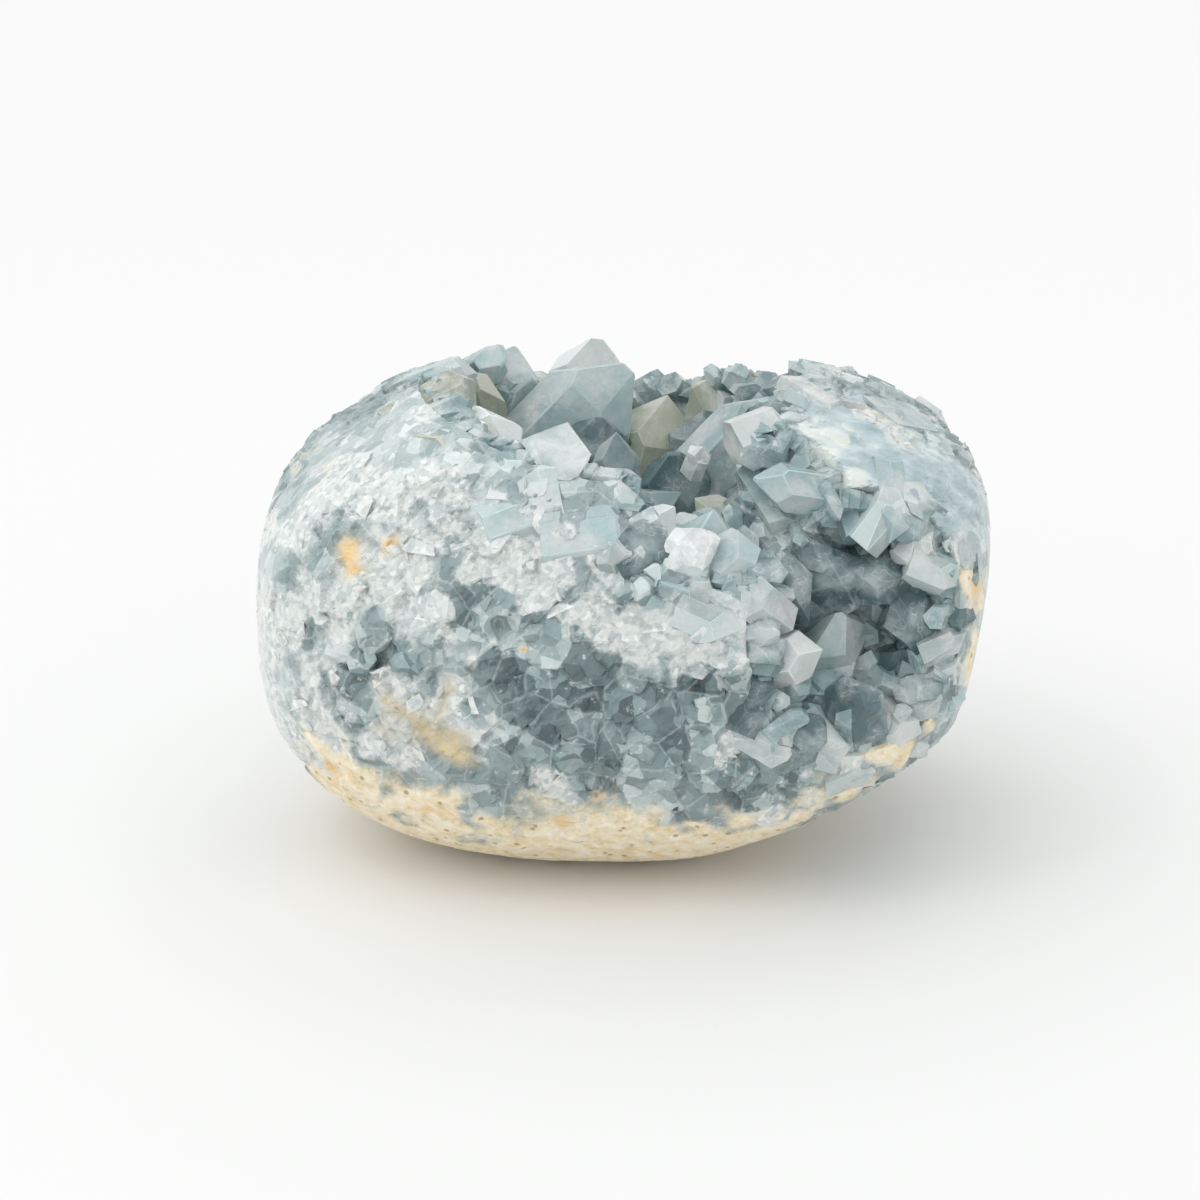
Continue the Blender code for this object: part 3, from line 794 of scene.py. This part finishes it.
def spreadOut(points, spacing, keep, rng):  # indices at least so far apart, in a seeded order
    order = np.array(keep)
    rng.shuffle(order)
    cells = {}
    chosen = []
    for index in order:
        point = points[index]
        key = tuple((point // spacing).astype(int))
        near = (
            cells.get((key[0] + a, key[1] + b, key[2] + c), ())
            for a in (-1, 0, 1) for b in (-1, 0, 1) for c in (-1, 0, 1))
        if any(np.sum((points[other] - point) ** 2) < spacing ** 2 for group in near for other in group):
            continue
        cells.setdefault(key, []).append(index)
        chosen.append(index)
    return chosen


def looseTurn(normal, lean, rng):
    axis = Vector(normal) + Vector((rng.uniform(-1, 1), rng.uniform(-1, 1), rng.uniform(-1, 1))) * lean
    return standFrame(axis.normalized(), rng.uniform(0, math.pi), Vector((0.3, -1, 0.2)))


rng = random.Random(fillers["seed"])
shuffler = np.random.default_rng(fillers["seed"])
linePoints, lineNormals = readPoints(crust), readNormals(crust)
openSide = np.nonzero(depthBelowSkin(linePoints) > fillers["druse"]["below"])[0]
rows = []
for index in spreadOut(linePoints, fillers["druse"]["spacing"], openSide, shuffler):
    width = rng.uniform(*fillers["druse"]["width"])
    turn = looseTurn(lineNormals[index], fillers["druse"]["lean"], rng)
    foot = Vector(linePoints[index]) - turn.col[2] * fillers["druse"]["sink"] * width
    thickness, length = width * rng.uniform(0.6, 0.9), width * rng.uniform(1.1, 1.5)
    size = (width / crystals["width"], thickness / crystals["thickness"], length)
    rows.append((foot, turn, size, rng.randrange(len(habits)), rng.random()))
pieces["druse"] = scatter("druseCrystals", plainCrystals, rows)
grindFlush(pieces["druse"], *flush["druse"])
print("druse", len(rows), len(pieces["druse"].data.polygons))

skinPoints, skinNormals = readPoints(stone), readNormals(stone)
onSkin = depthBelowSkin(skinPoints) < 1.2
fieldOf = {name: readField(stone, name) for name in (*zones, "rough")}
rimField = nearHollow(skinPoints, 3)
chance = shuffler.random(len(skinPoints))


def stoneCrystals(name, shelf, keep, kind):
    rows = []
    tall = kind["tall"]
    chosen = spreadOut(skinPoints, kind["spacing"], keep, shuffler)
    for index in chosen:
        width = rng.uniform(*kind["width"])
        turn = looseTurn(skinNormals[index], kind["lean"], rng)
        tip = Vector(skinPoints[index]) + Vector(skinNormals[index]) * rng.uniform(*kind["lift"])
        size = (width / crystals["width"], width * rng.uniform(0.7, 1.1) / crystals["thickness"], width * tall)
        rows.append((tip - turn.col[2] * width * tall, turn, size, rng.randrange(len(habits)), rng.random()))
    piece = scatter(name, shelf, rows, {field: values[chosen] for field, values in fieldOf.items()})
    print(name, len(rows), len(piece.data.polygons))
    return piece


rimKeep = np.nonzero(onSkin & (rimField > 0.4) & (chance > fieldOf["polish"])
                     & (skinPoints[:, 1] < 10) & (fieldOf["streak"] < 0.35) & (fieldOf["milk"] < 0.35)
                     & ((fieldOf["sugar"] < 0.6) | (skinPoints[:, 0] > 16)) & (skinPoints[:, 2] > 28))[0]
faceKeep = np.nonzero(onSkin & (rimField < 0.5) & (skinPoints[:, 2] > 6) & (fieldOf["cream"] < 0.3)
                      & (chance < fieldOf["rough"] * fieldOf["blue"] * (1 - fieldOf["sugar"])))[0]
sugarKeep = np.nonzero(onSkin & (skinPoints[:, 2] > 4) & (fieldOf["cream"] < 0.4) & (fieldOf["sugar"] > 0.9)
                       & (chance < 1 - fieldOf["polish"]))[0]
pieces["rim"] = stoneCrystals("rimBlocks", wholeCrystals, rimKeep, fillers["rim"])
stonePieces = {
    "face": stoneCrystals("faceBlocks", plainCrystals, faceKeep, fillers["face"]),
    "sugar": stoneCrystals("sugarGrains", grains, sugarKeep, fillers["sugar"]),
}
grindFlush(pieces["rim"], *flush["rim"])
for name, piece in stonePieces.items():
    grindFlush(piece, *flush[name])


# Celestine: pale blue glassy crystals, from clear to cloudy
celestineLooks = {
    # body and cloud colour, share of light let through, roughness, absorption colour, density per metre, steps
    "milky": ("#e9f1ef", "#fafbf8", 0.30, 0.12, "#c9dadb", 8, 0.10),
    "clear": ("#cfe8ea", "#f3f9f9", 0.44, 0.05, "#98c6cb", 10, 0.12),
    "smoky": ("#dce1cd", "#f1f3e8", 0.42, 0.06, "#b3c09c", 13, 0.12),
    # slate: a real darker blue-grey, darkened further as painted shade for the shaded notch where it is used most
    "slate": ("#738e93", "#ccdbdc", 0.48, 0.05, "#82a8ae", 30, 0.12),
    "druse": ("#a5c0c3", "#e5eeee", 0.30, 0.12, "#a2c3c7", 12, 0.10),
    # frosted: its near-white body and cloud are a painted glint on a rough, frosted face
    "frosted": ("#dde3e3", "#fafbfb", 0.10, 0.20, "#dfe8e8", 8, 0.50),
    "rim": ("#d6e5e4", "#f5f9f8", 0.34, 0.14, "#b5d2d3", 12, 0.10),
}
celestineBody = {  # what all celestine shares: brightness of crystals, painted reflection on faces and painted highlight on edges, clouds, healed cracks, stepped faces
    "tone": (0.8, 1.15), "facet": (0.76, 1.4), "clouds": (8, 4, 0.62, 0.4), "veil": (0.42, 0.64, 0.0, 0.9),
    "cracks": (4.5, 2, 0.55, 0.5), "crackWidth": 0.014, "crackShare": 0.75, "cracked": (0.36, 0.56),
    "crackColour": "#fbfcfb", "stepSizes": (4.5, 1.3),
    "ior": 1.5,  # a little under celestine's 1.62, so that less light is trapped
}


def celestine(name, look):  # glassy sulphate crystal: clear to cloudy, veined with healed cracks
    body, cloud, through, rough, deep, density, stepped = look
    material = bpy.data.materials.new(name)
    material.use_nodes = True
    tree = material.node_tree
    shader = tree.nodes["Principled BSDF"]
    place = addNode(tree, "ShaderNodeTexCoord").outputs["Object"]
    toneShare = mapRange(tree, fieldNode(tree, "tone"), 0, 1, *celestineBody["tone"])
    # faces and bevelled edges are lightened here: painted reflection and painted edge highlight
    facetShare = mapRange(tree, fieldNode(tree, "facet"), 0, 2, *celestineBody["facet"])
    brighter = mathNode(tree, "MULTIPLY", toneShare, facetShare)
    bodyTone = addNode(tree, "ShaderNodeHueSaturation", {"Color": linearColour(body), "Value": brighter}).outputs[0]
    clouds = noiseNode(tree, place, *celestineBody["clouds"]).outputs[0]
    clouded = mixColour(tree, mapRange(tree, clouds, *celestineBody["veil"]), bodyTone, linearColour(cloud))
    cracks = noiseNode(tree, place, *celestineBody["cracks"]).outputs[0]
    near = mathNode(tree, "ABSOLUTE", mathNode(tree, "SUBTRACT", cracks, 0.5))
    thin = mapRange(tree, near, 0, celestineBody["crackWidth"], celestineBody["crackShare"], 0)
    crack = mathNode(tree, "MULTIPLY", thin, mapRange(tree, clouds, *celestineBody["cracked"]))
    veined = mixColour(tree, crack, clouded, linearColour(celestineBody["crackColour"]))
    tree.links.new(veined, shader.inputs["Base Color"])
    coarse, fine = (facetHeight(tree, place, size, stepped) for size in celestineBody["stepSizes"])
    bump = addNode(tree, "ShaderNodeBump", {
        "Height": mathNode(tree, "ADD", coarse, fine), "Distance": 1.0, "Strength": 1.0})
    tree.links.new(bump.outputs[0], shader.inputs["Normal"])
    shader.inputs["Roughness"].default_value = rough
    shader.inputs["IOR"].default_value = celestineBody["ior"]
    shader.inputs["Transmission Weight"].default_value = through
    absorption = addNode(tree, "ShaderNodeVolumeAbsorption", {"Color": linearColour(deep), "Density": density})
    tree.links.new(absorption.outputs[0], tree.nodes["Material Output"].inputs["Volume"])
    return material


# Ground stone: colours along the tone of each cell or grain, single colours, and sizes in mm
stoneRamps = {
    "blue": ((0.12, "#2f4045"), (0.3, "#43575d"), (0.5, "#5c7479"), (0.68, "#7d9497"), (0.9, "#b9c8c8")),
    "pale": ((0.1, "#9eafb0"), (0.5, "#c1cdcc"), (0.9, "#e4e9e5")),
    "streaky": ((0.3, "#93a7ad"), (0.5, "#b4c4c8"), (0.62, "#ccd8da"), (0.75, "#eef2f1")),
    "white": ((0.0, "#b4bebf"), (0.25, "#c9cfce"), (0.6, "#d6dad7"), (1.0, "#e6e8e5")),
    "cream": ((0.3, "#d3c3a2"), (0.42, "#ecdcb8"), (0.55, "#f5e9d1"), (0.7, "#f9f2e3")),
}
stoneColours = {
    "seam": "#dbe0df", "fleck": "#edf1f0", "milk": "#e6e8de", "streak": "#e6bf7c", "creamPit": "#a98f68",
    # the dark pit colour is painted shade in the hollows
    "tan": "#d5c4a0", "halo": "#e2d6bc", "ochre": "#ebca94", "pitWithPaintedShade": "#46545a",
}
stoneSizes = {
    "wobble": 2.5, "push": 0.7, "big": 7.5, "little": 3, "grain": 1.1, "patch": 4, "fleck": 1.7, "streak": 7,
    "creamPit": 3.4, "cream": 3, "sheen": (70, 240, 330),
}


def groundStone():  # celestine cut through by grinding, in white grainy and cream limestone matrix
    material = bpy.data.materials.new("groundCelestineStone")
    material.use_nodes = True
    tree = material.node_tree
    shader = tree.nodes["Principled BSDF"]
    place = addNode(tree, "ShaderNodeTexCoord").outputs["Object"]
    fields = {name: fieldNode(tree, name) for name in zones}
    sizes = stoneSizes
    patchy = noiseNode(tree, place, sizes["patch"], 4, 0.7).outputs[0]
    flecks = noiseNode(tree, place, sizes["fleck"], 2, 0.6).outputs[0]

    def edged(name, low, high, border=patchy):  # a zone with a ragged border
        return mapRange(tree, mathNode(tree, "ADD", border, fields[name]), low, high)

    def laid(factor, colour):  # another layer over what is there
        return mixColour(tree, factor, base, linearColour(stoneColours[colour]))

    def ramp(name, value):
        return addNode(tree, "ShaderNodeValToRGB", {"Fac": value}, stops=stoneRamps[name]).outputs[0]

    def cellTone(cells, channel):
        return addNode(tree, "ShaderNodeSeparateColor", {0: cells.outputs["Color"]}).outputs[channel]

    # Cut crystals: big and little cells with pale seams
    wobble = noiseNode(tree, place, sizes["wobble"]).outputs["Color"]
    centred = addNode(tree, "ShaderNodeVectorMath", {0: wobble, 1: (0.5, 0.5, 0.5)}, operation="SUBTRACT")
    small = addNode(
        tree, "ShaderNodeVectorMath", {0: centred.outputs[0], "Scale": sizes["push"] * mm}, operation="SCALE")
    bent = addNode(tree, "ShaderNodeVectorMath", {0: place, 1: small.outputs[0]}).outputs[0]
    bigTone = cellTone(cellNode(tree, bent, sizes["big"]), 0)
    littleTone = cellTone(cellNode(tree, bent, sizes["little"]), 1)
    grainTone = cellTone(cellNode(tree, bent, sizes["grain"]), 2)
    seams = cellNode(tree, bent, sizes["big"], feature="DISTANCE_TO_EDGE").outputs["Distance"]
    halfTone = mathNode(tree, "MULTIPLY", mathNode(tree, "ADD", bigTone, littleTone), 0.5)
    blue, pale = ramp("blue", halfTone), ramp("pale", halfTone)
    base = mixColour(tree, mathNode(tree, "MULTIPLY", fields["blue"], 0.75), mixColour(tree, 0.45, blue, pale), blue)
    base = laid(mapRange(tree, seams, 0, 0.04, 0.3, 0), "seam")

    # Polished skin, flecks, and the streaky shoulder with its milky patches
    base = mixColour(tree, mathNode(tree, "MULTIPLY", edged("polish", 0.7, 1.15), 0.6), base, pale)
    base = laid(mapRange(tree, flecks, 0.64, 0.74, 0, 0.5), "fleck")
    stretched = addNode(tree, "ShaderNodeMapping", {
        "Vector": place, "Rotation": (0.2, 0.6, 0.3), "Scale": sizes["sheen"]})
    sheen = addNode(tree, "ShaderNodeTexNoise", {
        "Vector": stretched.outputs[0], "Scale": 1.0, "Detail": 4, "Roughness": 0.6})
    streaky = ramp("streaky", sheen.outputs[0])
    base = mixColour(tree, edged("streak", 0.8, 1.0), base, streaky)
    milky = mixColour(tree, 0.65, streaky, linearColour(stoneColours["milk"]))
    base = mixColour(tree, edged("milk", 0.9, 1.15), base, milky)

    # White sugary grains, then the cream base with its own streaks and pits
    base = mixColour(tree, edged("sugar", 0.78, 1.05), base, ramp("white", grainTone))
    streaks = noiseNode(tree, place, sizes["streak"], 4, 0.65, 0.8).outputs[0]
    creamNoise = noiseNode(tree, place, sizes["cream"], 4, 0.7).outputs[0]
    pits = cellNode(tree, place, sizes["creamPit"]).outputs["Distance"]
    streaked = mixColour(
        tree, mapRange(tree, streaks, 0.55, 0.72, 0, 0.75), ramp("cream", creamNoise),
        linearColour(stoneColours["streak"]))
    pitted = mixColour(
        tree, mapRange(tree, pits, 0.12, 0.2, 0.8, 0), streaked, linearColour(stoneColours["creamPit"]))
    base = mixColour(tree, edged("cream", 0.72, 1.2), base, pitted)
    base = laid(edged("tan", 0.75, 1.4), "tan")
    base = laid(mathNode(tree, "MULTIPLY", edged("ochre", 0.65, 1.25, flecks), 0.75), "halo")
    base = laid(edged("ochre", 0.95, 1.5, flecks), "ochre")
    # the pits are darkened: painted shade
    base = laid(edged("pitWithPaintedShade", 0.95, 1.25), "pitWithPaintedShade")
    for field in ("tone", "facet"):  # separate crystals differ a little in tone, and their faces by a painted reflection
        shift = mapRange(tree, fieldNode(tree, field), 0, 1, 0.88, 1.12)
        base = addNode(tree, "ShaderNodeHueSaturation", {"Color": base, "Value": shift}).outputs[0]
    tree.links.new(base, shader.inputs["Base Color"])

    # Polish shines, cream is dull, and broken faces have steps
    shine = mapRange(tree, fields["polish"], 0, 1, 0.36, 0.2)
    dull = mathNode(tree, "MULTIPLY", fields["cream"], 0.25)
    tree.links.new(mathNode(tree, "ADD", shine, dull), shader.inputs["Roughness"])
    unpolished = mapRange(tree, fields["polish"], 0, 1, 1.0, 0.12)
    heights = mathNode(tree, "ADD", facetHeight(tree, place, 3.2, 0.3), facetHeight(tree, place, 1.1, 0.5))
    calmed = mathNode(tree, "MULTIPLY", heights, mapRange(tree, fields["sugar"], 0, 1, 1.0, 0.5))
    soft = mathNode(tree, "MULTIPLY", calmed, unpolished)
    bump = addNode(tree, "ShaderNodeBump", {"Height": soft, "Distance": 1.0, "Strength": 0.8})
    tree.links.new(bump.outputs[0], shader.inputs["Normal"])
    return material


def finishPiece(piece, finish, node):
    piece.data.materials.clear()
    piece.data.materials.append(finish)
    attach(piece, "root")
    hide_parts(node)


stoneFinish = groundStone()
celestines = {name: celestine(name + "Celestine", look) for name, look in celestineLooks.items()}
finishPiece(stone, stoneFinish, "polished_nodule")
for piece in stonePieces.values():
    finishPiece(piece, stoneFinish, "polished_nodule")
finishPiece(crust, celestines["druse"], "crystal_crust")
for name, piece in pieces.items():
    finishPiece(piece, celestines[name.replace("Slab", "")], "crystal_crust")
print("finishes done")
